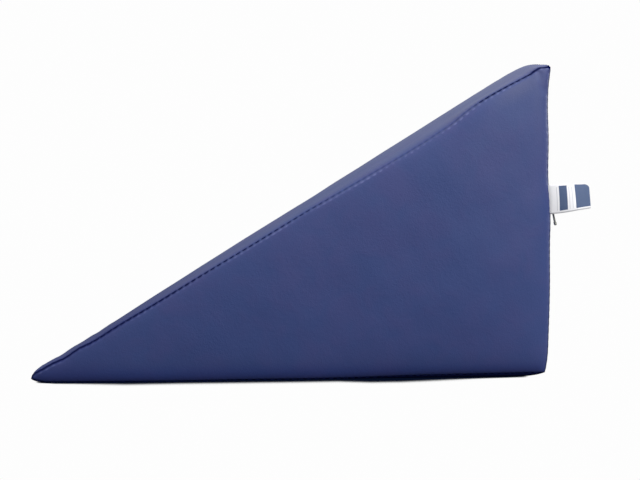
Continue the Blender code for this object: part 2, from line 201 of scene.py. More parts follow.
class WedgeCoverSettings(bpy.types.PropertyGroup):
    """Sizes and colours of the sewn cover"""

    length: length("Length", "Thin edge to back, seam to seam", 0.500)
    width: length("Width", "Side to side, seam to seam", 0.300)
    corner_height: length("Corner height", "Height of the seam at the top corners", 0.3055)
    tip_thickness: length("Thin edge", "Thickness of the thin edge", 0.0016)
    tip_lift: length("Lift at thin edge", "Height of its underside", 0.0036)
    roll: length("Roll", "How far a panel rolls out beside its seam", 0.0022)
    crisp: amount("Crisp share", "Share of the roll that is right at the seam", 0.42)
    roll_radius: length("Roll radius", "Width of the crisp roll", 0.0018)
    roll_run: length("Roll run", "Width of the rest of the roll", 0.0048)
    tip_roll_radius: length("Thin edge roll", "Width over which it starts", 0.0136)
    tip_close: length("Thin edge seam", "Width over which the panels close to it", 0.0045)
    side_swell: length("Side swell", "How far the side panels bulge", 0.0088)
    side_run: length("Side swell run", "Distance over which they bulge", 0.055)
    under_roll: length("Under roll", "How far the side panels roll in to the base", 0.0036)
    under_run: length("Under roll run", "Distance over which they roll in", 0.0062)
    shoulder: length("Shoulder", "How far they roll out below the top corner", 0.0044)
    shoulder_run: length("Shoulder run", "Distance over which they roll out", 0.0100)
    back_swell: length("Back swell", "How far the back panel bulges", 0.0030)
    back_run: length("Back swell run", "Distance over which it bulges", 0.060)
    tip_swell: length("Thin edge swell", "How far the thin edge bulges", 0.0020)
    base_roll_radius: length("Base roll", "Radius from the floor to the base seam", 0.013)
    base_back_radius: length("Base back radius", "Roll of the base by the back", 0.030)
    tip_run: length("Thin edge run", "Distance over which it bulges", 0.032)
    tip_wave_run: length("Thin edge wave", "Distance over which its wave fades", 0.015)
    seam_run: length("Seam run", "Distance over which the seam's line fades", 0.025)
    stitch_pitch: length("Stitch pitch", "Length of one stitch", 0.0071)
    stitch_width: length("Stitch width", "Thickness of the thread", 0.0008)
    pucker: length("Pucker", "Height of the gathers beside a seam", 0.00022)
    ripple: length("Ripple", "Height of the soft unevenness of the panels", 0.00045)
    mesh_pitch: length("Mesh pitch", "Distance between mesh points in a panel", 0.0052)
    points_per_stitch: whole_number("Points per stitch", "Mesh points along a stitch", 6, min=3)
    vinyl: colour("Vinyl", "Colour of the cover", (0.034, 0.058, 0.192))
    # Used for real cloudy wear and for a painted highlight on the roll beside each seam
    vinyl_worn_and_sheen: colour("Rubbed vinyl", "Colour where the cover is rubbed", (0.046, 0.057, 0.190))
    # Painted shade: darker, bluer vinyl low down by the floor
    vinyl_floor_shade: colour("Deep vinyl", "Colour by the floor and thin edge", (0.016, 0.032, 0.210))
    # Painted shade: darker vinyl towards the thin end, where less light reaches
    vinyl_tip_shade: colour("Thin vinyl", "Colour of the vinyl at the thin end", (0.022, 0.034, 0.150))
    # Painted sheen on the side panels just below the top corners
    vinyl_corner_sheen: colour("Rubbed corner", "Colour below the top corners", (0.064, 0.080, 0.195))
    thread: colour("Thread", "Colour of the stitches", (0.002, 0.005, 0.042))
    # Painted shade: the dark matte colour laid in the seams and under the base's rolled edge
    gap: colour("Seam gap", "Colour deep in the seams", (0.001, 0.003, 0.040))
    # Painted highlight: the pale colour between the stitches beside a seam
    stitch_highlight: colour("Scuffed vinyl", "Colour of the scuffs by stitches", (0.100, 0.118, 0.290))
    roughness: amount("Roughness", "Roughness of the vinyl", 0.52, min=0.0, max=1.0)
    dull: amount("Dull", "How much rougher the slope is by the thin edge", 0.22, min=0.0)
    polish: amount("Polish", "How much smoother the slope is by the top", 0.04, min=0.0)


class WedgeLabelSettings(bpy.types.PropertyGroup):
    """Sizes and colours of the care label"""

    middle: length("Middle", "Height of its middle", 0.1748)
    width: length("Width", "Width of the ribbon", 0.0285)
    reach: length("Reach", "How far it stands out", 0.0402)
    tuck: length("Tuck", "How far it goes into the seam", 0.0030)
    layer: length("Layer", "Thickness of the ribbon", 0.0003)
    apart: length("Apart", "Distance between its two layers", 0.0013)
    rise: length("Rise", "How far it rises on the way out", 0.0040)
    twist: angle("Twist", "How far it turns on the way out", math.radians(32.0))
    out: length("Out", "How far outside the side seam it stands", 0.0017)
    lean: amount("Lean", "Forward lean of its free end, as a share of its height", 0.11)
    corner: length("Corner", "Size of the rounded corner at its free end", 0.0058)
    satin: colour("Satin", "Colour of the ribbon", (0.82, 0.82, 0.85))
    ink: colour("Ink", "Colour of the printed blocks", (0.042, 0.078, 0.175))
    pale_ink: colour("Pale ink", "Colour of the thin printed bars", (0.36, 0.36, 0.40))


class WedgeZipSettings(bpy.types.PropertyGroup):
    """Sizes and colours of the zip"""

    height: length("Height", "Height of the zip's middle", 0.1700)
    channel_depth: length("Channel depth", "How deep the zip lies", 0.0036)
    channel_half: length("Channel half", "Half of the gap between the folds", 0.0065)
    channel_edge: length("Channel edge", "Width of the fold's edge", 0.0015)
    tooth_pitch: length("Tooth pitch", "Distance from tooth to tooth", 0.0018)
    swing: angle("Swing", "How far the pull swings out", math.radians(4.0))
    rounding: length("Rounding", "Rounded edges of the slider and pull", 0.0003)
    tape: colour("Tape", "Colour of the tape", (0.016, 0.020, 0.062))
    coil: colour("Coil", "Colour of the coil", (0.012, 0.015, 0.048))
    metal: colour("Metal", "Colour of the slider and pull", (0.460, 0.470, 0.410))
    # Lighter colour towards the pull's lower end
    metal_lower_end: colour("Worn metal", "Colour of the pull's rubbed end", (0.80, 0.81, 0.76))


class WedgeStudioSettings(bpy.types.PropertyGroup):
    """The camera, floor and light"""

    camera: position("Camera", "Place of the camera", (-0.06581, -1.16993, 0.1353))
    yaw: angle("Yaw", "How far the camera turns to the right", math.radians(5.0))
    focal: amount("Focal length", "Millimetres, on a 36 mm sensor", 59.68)
    floor_size: length("Floor size", "Side of the floor", 12.0)
    floor: colour("Floor", "Colour of the floor", (0.985, 0.985, 0.985))
    shadow: colour("Shadow", "Colour of the floor by the cushion", (0.002, 0.0045, 0.016))
    bounce: amount("Bounce", "Share of light that the floor throws back", 0.12, min=0.0, max=1.0)
    ambient: amount("Ambient", "Strength of the light from all round", 0.75, min=0.0)
    horizon: amount("Horizon", "Share of it that comes from low down in front", 0.38, min=0.0)
    behind: amount("Behind", "Share of it that comes from low down behind", 0.02, min=0.0)
    key_power: amount("Key light", "Watts of the overhead light", 9.0, min=0.0)
    fill_power: amount("Fill light", "Watts of the light by the camera's right", 12.0, min=0.0)
    back_power: amount("Back light", "Watts of the light at the right behind", 20.0, min=0.0)


class Finish:
    """A material's node tree: one method adds a node, and another feeds the shader's sockets."""

    def __init__(self, name, owner=None, shader="Principled BSDF", **constants):
        self.material = owner or bpy.data.materials.new(name)
        self.material.use_nodes = True
        self.tree = self.material.node_tree
        self.shader = self.tree.nodes[shader]
        self.surface(**constants)

    def feed(self, socket, value):
        """Put a value or a link into a socket."""
        if isinstance(value, Value):
            self.tree.links.new(value.socket, socket)
        elif socket.type == "RGBA" and len(value) == 3:
            socket.default_value = (*value, 1.0)
        else:
            socket.default_value = value

    def node(self, kind, settings=None, inputs=None, output=0):
        """Add a node, set it up, feed its sockets and return one of its outputs. The setting
        called stops holds a ramp's rows of (place, grey)."""
        node = self.tree.nodes.new(kind)
        for setting, value in (settings or {}).items():
            if setting == "stops":
                stops = node.color_ramp.elements
                for n, (place, grey) in enumerate(value):
                    stop = stops[n] if n < 2 else stops.new(place)
                    stop.position = place
                    stop.color = (grey, grey, grey, 1.0)
            else:
                setattr(node, setting, value)
        for socket, value in (inputs or {}).items():
            self.feed(node.inputs[socket], value)
        return Value(self, node.outputs[output])

    def surface(self, **sockets):
        """Feed the shader's own sockets."""
        for socket, value in sockets.items():
            self.feed(self.shader.inputs[socket.replace("_", " ")], value)

    def covered(self, share, shader):
        """Show this share of a second shader over the first."""
        first = Value(self, self.shader.outputs[0])
        mix = self.node("ShaderNodeMixShader", {}, {0: share, 1: first, 2: shader})
        self.feed(self.tree.nodes["Material Output"].inputs["Surface"], mix)

    def place(self):
        """Position in metres, in the frame of the model."""
        return self.node("ShaderNodeTexCoord", output=3)

    def axis(self, vector, number):
        """One of a vector's three numbers."""
        return self.node("ShaderNodeSeparateXYZ", {}, {0: vector}, output=number)

    def stretched(self, *scale):
        """Position scaled by a different number along each axis."""
        settings = {"operation": "MULTIPLY"}
        return self.node("ShaderNodeVectorMath", settings, {0: self.place(), 1: scale})

    def noise(self, where, size, detail=2.0, roughness=0.5, distortion=0.0):
        """Cloudy noise from 0 to 1 whose grains are about this many metres across."""
        inputs = {"Vector": where, "Scale": 1.0 / size, "Detail": detail}
        inputs.update({"Roughness": roughness, "Distortion": distortion})
        return self.node("ShaderNodeTexNoise", {}, inputs)

    def cells(self, where, size):
        """Distance to the nearest cell point, in cells of about this many metres."""
        return self.node("ShaderNodeTexVoronoi", {}, {"Vector": where, "Scale": 1.0 / size})

    def ribs(self, direction, scale, **inputs):
        """Even ribs that follow each other along one axis."""
        settings = {"wave_type": "BANDS", "bands_direction": direction}
        inputs = {"Vector": self.place(), "Scale": scale, **inputs}
        return self.node("ShaderNodeTexWave", settings, inputs, output=1)

    def stored(self, name):
        """A number stored on the mesh."""
        return self.node("ShaderNodeAttribute", {"attribute_name": name}, output=2)

    def risen(self, value, low, high, way="LINEAR"):
        """0 below low, 1 above high, even between."""
        inputs = {"Value": value, "From Min": low, "From Max": high}
        return self.node("ShaderNodeMapRange", {"interpolation_type": way}, inputs)

    def ramped(self, value, low, high):
        """0 below low, 1 above high, eased between."""
        return self.risen(value, low, high, "SMOOTHSTEP")

    def band(self, value, low, high, soft):
        """1 between low and high, 0 outside."""
        rise = self.ramped(value, low - soft, low + soft)
        return rise * (1.0 - self.ramped(value, high - soft, high + soft))

    def mixed(self, share, first, second):
        """A colour between two colours."""
        settings = {"data_type": "RGBA"}
        return self.node("ShaderNodeMix", settings, {0: share, 6: first, 7: second}, output=2)

    def bumped(self, height, distance, strength, **below):
        """A normal from a height of 0 to 1 that stands this many metres tall."""
        inputs = {"Height": height, "Distance": distance, "Strength": strength, **below}
        return self.node("ShaderNodeBump", {}, inputs)


class Value:
    """A node's output that Python's operators work on, each adding a Math node."""

    def __init__(self, finish, socket):
        self.finish = finish
        self.socket = socket

    def maths(self, operation, first, second):
        inputs = {0: first, 1: second}
        return self.finish.node("ShaderNodeMath", {"operation": operation}, inputs)

    def __add__(self, other):
        return self.maths("ADD", self, other)

    def __sub__(self, other):
        return self.maths("SUBTRACT", self, other)

    def __rsub__(self, other):
        return self.maths("SUBTRACT", other, self)

    def __mul__(self, other):
        return self.maths("MULTIPLY", self, other)

    __radd__ = __add__
    __rmul__ = __mul__


def tinted(shade, share):
    """A colour made darker or lighter."""
    return tuple(share * part for part in shade)


def eased(share):
    """0 to 1, starting and ending level."""
    share = np.clip(share, 0.0, 1.0)
    return share * share * (3.0 - 2.0 * share)


def stepped(steps, share):
    """A number that changes along a seam: its first value, then rows of (change, start, run)."""
    first, rows = steps
    return sum((change * eased((share - start) / run) for change, start, run in rows), first)


def rolled(distance, radius):
    """How far a panel has rolled out from its seam: 0 at the seam, 1 from the radius on."""
    near = np.clip(1.0 - distance / radius, 0.0, 1.0)
    return np.sqrt(1.0 - near * near)


def faded(distance, run):
    """1 at no distance, dying away over the run."""
    return np.exp(-distance / run)


def settled(distance, run):
    """How far a panel has swelled at a distance from its seam, levelling out after the run."""
    return 1.0 - faded(np.maximum(distance, 0.0), run)


def swelled(run, *distances):
    """How far a panel has swelled at its distances from several seams."""
    return math.prod(settled(distance, run) for distance in distances)


def bell(distance, width):
    """1 at no distance, next to nothing from twice the width on."""
    return np.exp(-((distance / width) ** 2))


def curve(rows, value):
    """A smooth line through rows of (place, height)."""
    places, heights = np.array(rows).T
    rises = np.gradient(heights, places)
    row = np.clip(np.searchsorted(places, value) - 1, 0, len(places) - 2)
    span = places[row + 1] - places[row]
    t = np.clip((value - places[row]) / span, 0.0, 1.0)
    line = heights[row] + (heights[row + 1] - heights[row]) * eased(t)
    return line + span * t * (1.0 - t) * (rises[row] * (1.0 - t) - rises[row + 1] * t)


def unevenness(seed, u, v, waves):
    """A smooth random field of about -1 to 1 from plane waves of the given lengths."""
    rng = np.random.default_rng(seed)
    total = np.zeros_like(u)
    weight = 0.0
    for wave in waves:
        heading, phase = rng.uniform(0.0, 2.0 * math.pi, 2)
        along = u * math.cos(heading) + v * math.sin(heading)
        total += wave * np.sin(2.0 * math.pi * along / wave + phase)
        weight += wave * wave
    return total / math.sqrt(weight)


def columns(*numbers):
    """Points from lists of their coordinates, or one number for all of them."""
    return np.stack(np.broadcast_arrays(*numbers), axis=1)


class Cover:
    """The filled cover's shape. A panel gives points, from its seams inwards, with the distance
    of each from the nearest seam and the painted shade and highlight of the seam there."""

    def __init__(self, scene):
        self.set = settings = scene.wedge_cover
        self.zip = scene.wedge_zip
        self.back_x = settings.length / 2
        self.side_y = settings.width / 2
        self.low = settings.tip_lift + settings.tip_thickness
        self.tip_z = settings.tip_lift + settings.tip_thickness / 2
        self.foot_z = BASE_SEAM[-1][1]
        slope = math.atan2(settings.corner_height - self.low, settings.length)
        self.cos = math.cos(slope)
        self.slope_out = np.array((-math.sin(slope), 0.0, self.cos))

    def closed(self, share, z):
        """A height, drawn to the thin edge where the slope and base are sewn together."""
        return self.tip_z + (z - self.tip_z) * rolled(share * self.set.length, self.set.tip_close)

    def low_edge(self, share):
        """Height of the base's side seam."""
        return self.closed(share, curve(BASE_SEAM, share))

    def straight(self, share):
        """Height of a straight line from the thin edge to the top corner."""
        return self.low + (self.set.corner_height - self.low) * share

    def high_edge(self, share):
        """Height of the slope's side seam, before the thin edge waves."""
        return self.closed(share, self.straight(share) + curve(SEAM_LINE, share))

    def tip_wave(self, share, y):
        """How far the slope goes up and down with the thin edge's wave."""
        from_tip = share * self.set.length
        wave = curve(TIP_LINE, y) * faded(from_tip, self.set.tip_wave_run)
        return wave * rolled(from_tip, self.set.tip_close)

    def crown(self, share, y):
        """Height of the slope panel, before the roll at its seams."""
        from_side = self.from_side(y)
        seam = curve(SEAM_LINE, share) * (1.0 - settled(from_side, self.set.seam_run))
        middle = curve(CROWN_LINE, share) * curve(CROWN_ACROSS, from_side)
        return self.closed(share, self.straight(share) + seam + middle) + self.tip_wave(share, y)

    def from_side(self, y):
        """Distance from the nearer side seam."""
        return self.side_y - np.abs(y)

    def from_ends(self, share):
        """Distances from the thin edge and from the back."""
        return share * self.set.length, (1.0 - share) * self.set.length

    def drawn_in(self, z, away):
        """How far a point is drawn forwards by the seam down the back's side edge."""
        return curve(BACK_SEAM, z) * faded(away, BACK_SEAM_RUN)

    def place_x(self, share, z, from_side):
        """X of a point that the back's side seam draws in and the thin edge lets out."""
        from_tip, from_back = self.from_ends(share)
        x = from_tip - self.back_x - self.drawn_in(z, from_back + from_side)
        swell = self.set.tip_swell * settled(from_side, self.set.tip_run)
        return x - swell * faded(from_tip, TIP_SWELL_REACH)

    def stitch(self, along):
        """1 where a stitch draws the seam tight, 0 half way to the next one."""
        return 0.5 + 0.5 * np.cos(2.0 * math.pi * along / self.set.stitch_pitch)

    def rolled_seams(self, *seams):
        """The roll beside stitched seams, wider where a stitch draws it in. Each seam is given
        by the distance from it and the place along it."""
        s, rolls = self.set, 1.0
        for distance, along in seams:
            crisp = s.crisp * rolled(distance, s.roll_radius * (0.7 + 0.9 * self.stitch(along)))
            rolls = rolls * (crisp + (1.0 - s.crisp) * settled(distance, s.roll_run))
        return rolls

    def gathers(self, rolls, along, distance, share, strength=1.0):
        """Small slanting gathers on the roll beside a seam, stronger towards its ends."""
        ends = faded(share, 0.22) + 0.8 * faded(1.0 - share, 0.10) + 0.35
        slant = 2.0 * math.pi * (along + GATHER_SLANT * distance) / self.set.stitch_pitch
        wobble = 0.6 * np.sin(2.0 * math.pi * along / GATHER_WANDER) + 0.5
        wave = ends * np.cos(slant + wobble) * faded(distance, GATHER_REACH)
        return -strength * self.set.pucker * wave * rolled(distance, GATHER_START) * rolls

    def uneven(self, seed, u, v, waves, *fade):
        """The soft unevenness of a panel, none at its seams."""
        return self.set.ripple * unevenness(seed, u, v, waves) * settled(*fade)

    def seam_shade(self, distance, share, along):
        """How much painted shade darkens a seam: whole by the thin edge and the top corner, in
        dashes between them."""
        whole = stepped(SHADE_WHOLE, share)
        dashes = stepped(SHADE_DASHES, share) * eased((self.stitch(along) - 0.10) / 0.35)
        wide = stepped(SHADE_WIDTH, share) + stepped(SHADE_WIDER_TOP, share) * (1.0 - np.floor(share))
        return np.clip(whole + dashes, 0.0, 1.0) * bell(distance, wide)

    def corner_shade(self, first, second):
        """How much painted shade darkens the knot of seams at a top corner."""
        return 1.2 * bell(np.hypot(first, second), CORNER_KNOT)

    def stitch_highlights(self, distance, share, along):
        """The small painted highlights on the roll of the vinyl between two stitches."""
        rough = 0.6 + 0.4 * np.sin(along / 0.0113) * np.sin(along / 0.0289 + 1.0)
        between = 1.0 - stepped(HIGHLIGHT_DASHES, share) * self.stitch(along)
        strong = stepped(HIGHLIGHT_STRENGTH, share) * rough * between
        return strong * bell(distance - HIGHLIGHT_AWAY, HIGHLIGHT_WIDTH)

    def corner_dimple(self, share, z):
        """A short crease that slants down the side panel below the top corner."""
        top, foot = np.array(DIMPLE_ENDS)
        run = foot - top
        away = columns(share * self.set.length - self.back_x, z) - top
        t = np.clip(away @ run / (run @ run), 0.0, 1.0)
        away = np.hypot(*(away - t[:, None] * run).T)
        return DIMPLE_DEPTH * bell(away, DIMPLE_WIDTH) * (1.0 - 0.4 * t)

    def side_panel(self, share, z, side):
        """Points of a side panel from their share of the length and height."""
        s = self.set
        from_tip, from_back = self.from_ends(share)
        low, high = self.low_edge(share), self.high_edge(share)
        from_base, from_slope = z - low, (high - z) * self.cos
        along = from_tip / self.cos
        nearest = np.minimum.reduce((from_base, from_slope, from_back))
        tip = rolled(from_tip, s.tip_roll_radius)
        seams = (from_base, from_tip), (from_back, z), (from_slope, along)
        rolls = self.rolled_seams(*seams) * tip
        below = settled(from_base, s.under_run) * self.rolled_seams(seams[1])
        below = below * rolled(from_slope, s.roll_radius) * tip
        shoulder = settled(from_slope, s.shoulder_run) * settled(from_back, 0.02)
        shoulder = shoulder * settled(from_base, s.side_run) * stepped(SHOULDER, share)
        out = s.side_swell * swelled(s.side_run, from_base, from_slope, from_back)
        out = out + s.roll * rolls + s.under_roll * below + s.shoulder * shoulder
        out = out + self.gathers(rolls, along, from_slope, share)
        out = out + self.gathers(rolls, z, from_back, 0.5)
        out = out + self.gathers(rolls, from_tip, from_base, 0.6, 0.6)
        out = out + self.uneven(11 + side, from_tip, z, SIDE_WAVES, nearest, 0.020)
        out = out - self.corner_dimple(share, z) * rolls
        wave = self.tip_wave(share, side * self.side_y) * from_base / np.maximum(high - low, 1e-5)
        places = columns(self.place_x(share, z, 0.0), side * (self.side_y + out), z + wave)
        # Painted shade in the seams less painted highlights between stitches; the corner knot's
        # painted shade is added below
        marks = self.seam_shade(nearest, share, along) - self.stitch_highlights(nearest, share, along)
        marks = np.where(from_slope <= nearest, marks, self.seam_shade(nearest, 1.0, z))
        return places, nearest, marks + self.corner_shade(from_back, from_slope)

    def slope_panel(self, share, y):
        """Points of the slope panel."""
        s = self.set
        from_tip, from_back = self.from_ends(share)
        along, from_ridge = from_tip / self.cos, from_back / self.cos
        from_side = self.from_side(y)
        z = self.crown(share, y)
        nearest = np.minimum.reduce((from_side, from_ridge, along))
        rolls = self.rolled_seams((from_side, along), (from_ridge, y))
        rolls = rolls * rolled(from_tip, s.tip_roll_radius)
        uneven = self.uneven(21, along, y, SLOPE_WAVES, nearest, 0.030) * eased(share / 0.5)
        out = s.roll * rolls + self.gathers(rolls, along, from_side, share) + uneven
        out = out + self.gathers(rolls, y, from_ridge, 0.5, 0.6)
        out = out + self.gathers(rolls, y, along, 0.5)
        places = columns(self.place_x(share, z, from_side), y, z) + out[:, None] * self.slope_out
        # Painted shade in the seams and at the knot of seams by the top corners
        marks = self.seam_shade(nearest, share, along) + self.corner_shade(from_side, from_ridge)
        return places, nearest, marks

    def base_panel(self, share, y):
        """Points of the base panel, flat on the floor inside its rolled edge, which is darkened
        with painted shade.
        """
        s = self.set
        from_tip, from_back = self.from_ends(share)
        from_side, edge = self.from_side(y), self.low_edge(share)
        nearest = np.minimum.reduce((from_side, from_back, from_tip))
        lift = rolled(from_side, s.base_roll_radius) * rolled(from_back, s.base_back_radius)
        lift = lift * rolled(from_tip, s.base_roll_radius)
        places = columns(self.place_x(share, edge, from_side), y, edge * (1.0 - lift))
        # Painted shade over the base's rolled edge, under the cushion
        under = 0.85 * np.exp(-((nearest / s.base_roll_radius) ** 4))
        return places, nearest, np.maximum(self.seam_shade(nearest, 1.0, from_tip), under)

    def channel(self, z, from_side):
        """How deep the zip's channel is in the back panel."""
        past_fold = (np.abs(z - self.zip.height) - self.zip.channel_half) / self.zip.channel_edge
        across = np.clip(1.0 - past_fold, 0.0, 1.0)
        return self.zip.channel_depth * across * rolled(from_side, self.set.roll_radius)

    def back_panel(self, y, z):
        """Points of the back panel, with the zip's channel across it."""
        s = self.set
        from_side, from_base = self.from_side(y), z - self.low_edge(1.0)
        from_ridge = (self.crown(1.0, y) - z) * self.cos
        nearest = np.minimum.reduce((from_base, from_ridge, from_side))
        rolls = self.rolled_seams((from_base, y), (from_ridge, y), (from_side, z))
        uneven = self.uneven(31, y, z, BACK_WAVES, nearest, 0.020)
        uneven = uneven + self.gathers(rolls, z, from_side, 0.5)
        out = s.back_swell * swelled(s.back_run, from_base, from_ridge, from_side)
        out = out + s.roll * rolls - self.channel(z, from_side)
        out = out + uneven * (1.0 - bell(z - self.zip.height, ZIP_CALM))
        out = out + self.gathers(rolls, y, from_ridge, 0.5, 0.6)
        x = self.back_x - self.drawn_in(z, from_side) + out
        # The last item is the painted shade in the seams
        return columns(x, y, z), nearest, self.seam_shade(nearest, 1.0, z)


def steps_along(span, pitch):
    """Evenly spaced shares of a span, both ends included, about a pitch apart."""
    return np.linspace(0.0, 1.0, max(2, round(span / pitch)) + 1)


def hexagon_points(low, high, pitch):
    """Points of a triangular grid that covers a rectangle."""
    rows = np.arange(low[1], high[1], pitch * math.sqrt(3.0) / 2.0)
    u, v = np.meshgrid(np.arange(low[0], high[0], pitch), rows)
    u = u + (np.arange(len(rows)) % 2)[:, None] * pitch / 2.0
    return columns(u.ravel(), v.ravel())


def thinned(points, room):
    """The points, without those that crowd an earlier one."""
    tree = kdtree.KDTree(len(points))
    for n, point in enumerate(points):
        tree.insert((*point, 0.0), n)
    tree.balance()
    kept = np.ones(len(points), bool)
    for n, point in enumerate(points):
        if kept[n]:
            for _, other, _ in tree.find_range((*point, 0.0), room[n]):
                if other > n:
                    kept[other] = False
    return points[kept]


def smooth_mesh(name, points, faces, **stored):
    """A smooth mesh, with the given numbers stored at its points."""
    data = bpy.data.meshes.new(name)
    data.from_pydata(np.array(points).tolist(), [], faces)
    for label, values in stored.items():
        values = np.array(values, np.float32)
        data.attributes.new(label, "FLOAT", "POINT").data.foreach_set("value", values)
    data.shade_smooth()
    return data


class Sewing:
    """A mesh sewn from panels that share the points of their seams."""

    def __init__(self):
        self.points, self.reach, self.gap, self.faces = [], [], [], []

    def add(self, places, nearest, gap):
        """Add points and return their numbers."""
        numbers = np.arange(len(self.points), len(self.points) + len(places))
        self.points.extend(places)
        self.reach.extend(nearest)
        self.gap.extend(gap)
        return numbers

    def panel(self, outline, numbers, inside, shape, flip):
        """Fill an outline of numbered points with triangles and shape its inside points."""
        flat = np.concatenate((outline, inside)) * 1000.0
        ring = list(range(len(outline)))
        made = delaunay_2d_cdt([Vector(p) for p in flat], [], [ring], 1, 1e-6)
        every = np.concatenate((numbers, self.add(*shape(inside))))
        for face in made[2]:
            corners = [int(every[made[3][n][0]]) for n in face]
            self.faces.append(corners[::-1] if flip else corners)

    def mesh(self, name):
        """The finished mesh, with each point's distance from its nearest seam and the painted
        shade and highlight of that seam.
        """
        return smooth_mesh(name, self.points, self.faces, seam=self.reach, gap=self.gap)


def panel_points(edges, distance, pitch, low, high):
    """Inside points of a panel: rows along its edges, then an even grid.

    An edge gives its own points moved inwards, and distance says how far a point is from the
    nearest edge."""
    rows, room = [], []
    for away, every in SEAM_ROWS:
        for edge in edges:
            points = edge(away)[::every]
            rows.append(points[distance(points) > away * 0.97])
            room.append(np.full(len(rows[-1]), min(away * 0.55, pitch * 0.25)))
    grid = hexagon_points(low, high, pitch)
    rows.append(grid[distance(grid) > SEAM_ROWS[-1][0] + pitch * 0.6])
    room.append(np.full(len(rows[-1]), pitch * 0.5))
    return thinned(np.concatenate(rows), np.concatenate(room))


def sewn_cover(cover):
    """The cover's five panels as one closed mesh."""
    s, cos, half = cover.set, cover.cos, cover.side_y
    pitch = s.stitch_pitch / s.points_per_stitch
    shares = steps_along(s.length / cos, pitch)
    widths = (steps_along(s.width, pitch) - 0.5) * s.width
    heights = steps_along(s.corner_height, pitch)
    heights = cover.foot_z + heights * (s.corner_height - cover.foot_z)
    x, low, high = shares * s.length, cover.low_edge(shares), cover.high_edge(shares)
    sewing = Sewing()
    seams = {}
    for side in (-1, 1):
        at_side = np.full(len(shares), side * half)
        slope = sewing.add(*cover.slope_panel(shares, at_side))
        base = sewing.add(*cover.base_panel(shares[1:], at_side[1:]))
        back = sewing.add(*cover.back_panel(np.full(len(heights) - 2, side * half), heights[1:-1]))
        seams["slope", side] = slope
        seams["base", side] = np.array((slope[0], *base))
        seams["back", side] = np.array((base[-1], *back, slope[-1]))
    for name, edge, end, panel, share in (
        ("tip", "slope", 0, cover.slope_panel, 0.0),
        ("ridge", "slope", -1, cover.slope_panel, 1.0),
        ("foot", "base", -1, cover.base_panel, 1.0),
    ):
        inner = sewing.add(*panel(np.full(len(widths) - 2, share), widths[1:-1]))
        seams[name] = np.array((seams[edge, -1][end], *inner, seams[edge, 1][end]))

    def side_distance(points):
        along, z = points.T
        from_slope = (cover.high_edge(along / s.length) - z) * cos
        from_base = z - cover.low_edge(along / s.length)
        return np.minimum.reduce((from_slope, from_base, s.length - along, along))

    edges = (
        lambda away: columns(x, high - away / cos),
        lambda away: columns(x, low + away),
        lambda away: columns(s.length - away, heights),
    )
    corners = (0.0, 0.0), (s.length, s.corner_height)
    inside = panel_points(edges, side_distance, s.mesh_pitch, *corners)
    top = columns(x, high)[-2:0:-1]
    outline = np.concatenate((columns(x, low), columns(s.length, heights[1:]), top))
    for side in (-1, 1):
        slope = seams["slope", side][-2:0:-1]
        numbers = np.concatenate((seams["base", side], seams["back", side][1:], slope))

        def shape(points, side=side):
            return cover.side_panel(points[:, 0] / s.length, points[:, 1], side)

        sewing.panel(outline, numbers, inside, shape, side > 0)

    def rectangle(edge, first, last, u, start, end, shape, flip, more=()):
        """A panel between two side seams of one name and two seams across it. On the flat it
        goes from a start to an end that may change over the width."""

        def away_from_edges(points):
            along = np.minimum(points[:, 0] - start, end(points[:, 1]) - points[:, 0])
            return np.minimum(along, half - np.abs(points[:, 1]))

        edges = (
            lambda away: columns(u, away - half),
            lambda away: columns(u, half - away),
            lambda away: columns(start + away, widths),
            lambda away: columns(end(widths) - away, widths),
        )
        size = (start, -half), (float(end(np.zeros(1))[0]), half)
        inside = panel_points((*more, *edges), away_from_edges, s.mesh_pitch, *size)
        near, far = columns(u, -half), columns(u, half)[-2::-1]
        top, foot = columns(end(widths[1:]), widths[1:]), columns(start, widths[1:-1])[::-1]
        outline = np.concatenate((near, top, far, foot))
        parts = seams[edge, -1], seams[last][1:], seams[edge, 1][-2::-1], seams[first][-2:0:-1]
        sewing.panel(outline, np.concatenate(parts), inside, shape, flip)

    seam = s.length / cos
    rectangle(
        "slope", "tip", "ridge", shares * seam, 0.0, lambda y: np.full(len(y), seam),
        lambda points: cover.slope_panel(points[:, 0] / seam, points[:, 1]), False,
    )
    rectangle(
        "base", "tip", "foot", x, 0.0, lambda y: np.full(len(y), s.length),
        lambda points: cover.base_panel(points[:, 0] / s.length, points[:, 1]), True,
    )
    folds = [
        cover.zip.height + sign * (cover.zip.channel_half + cover.zip.channel_edge * share)
        for sign in (-1, 1)
        for share in FOLD_ROWS
    ]
    rectangle(
        "back", "foot", "ridge", heights, cover.foot_z, lambda y: cover.crown(1.0, y),
        lambda points: cover.back_panel(points[:, 1], points[:, 0]), True,
        [(lambda away, fold=fold: columns(fold, widths)[::2]) for fold in folds],
    )
    return sewing.mesh("vinyl_cover")


def placed(name, data, material, slot, *replaced):
    """Put a finished mesh in the scene on the cushion's body."""
    piece = bpy.data.objects.new(name, data)
    bpy.context.scene.collection.objects.link(piece)
    data.materials.clear()
    data.materials.append(material)
    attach(piece, BODY)
    if replaced:
        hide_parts(*replaced)
    return piece


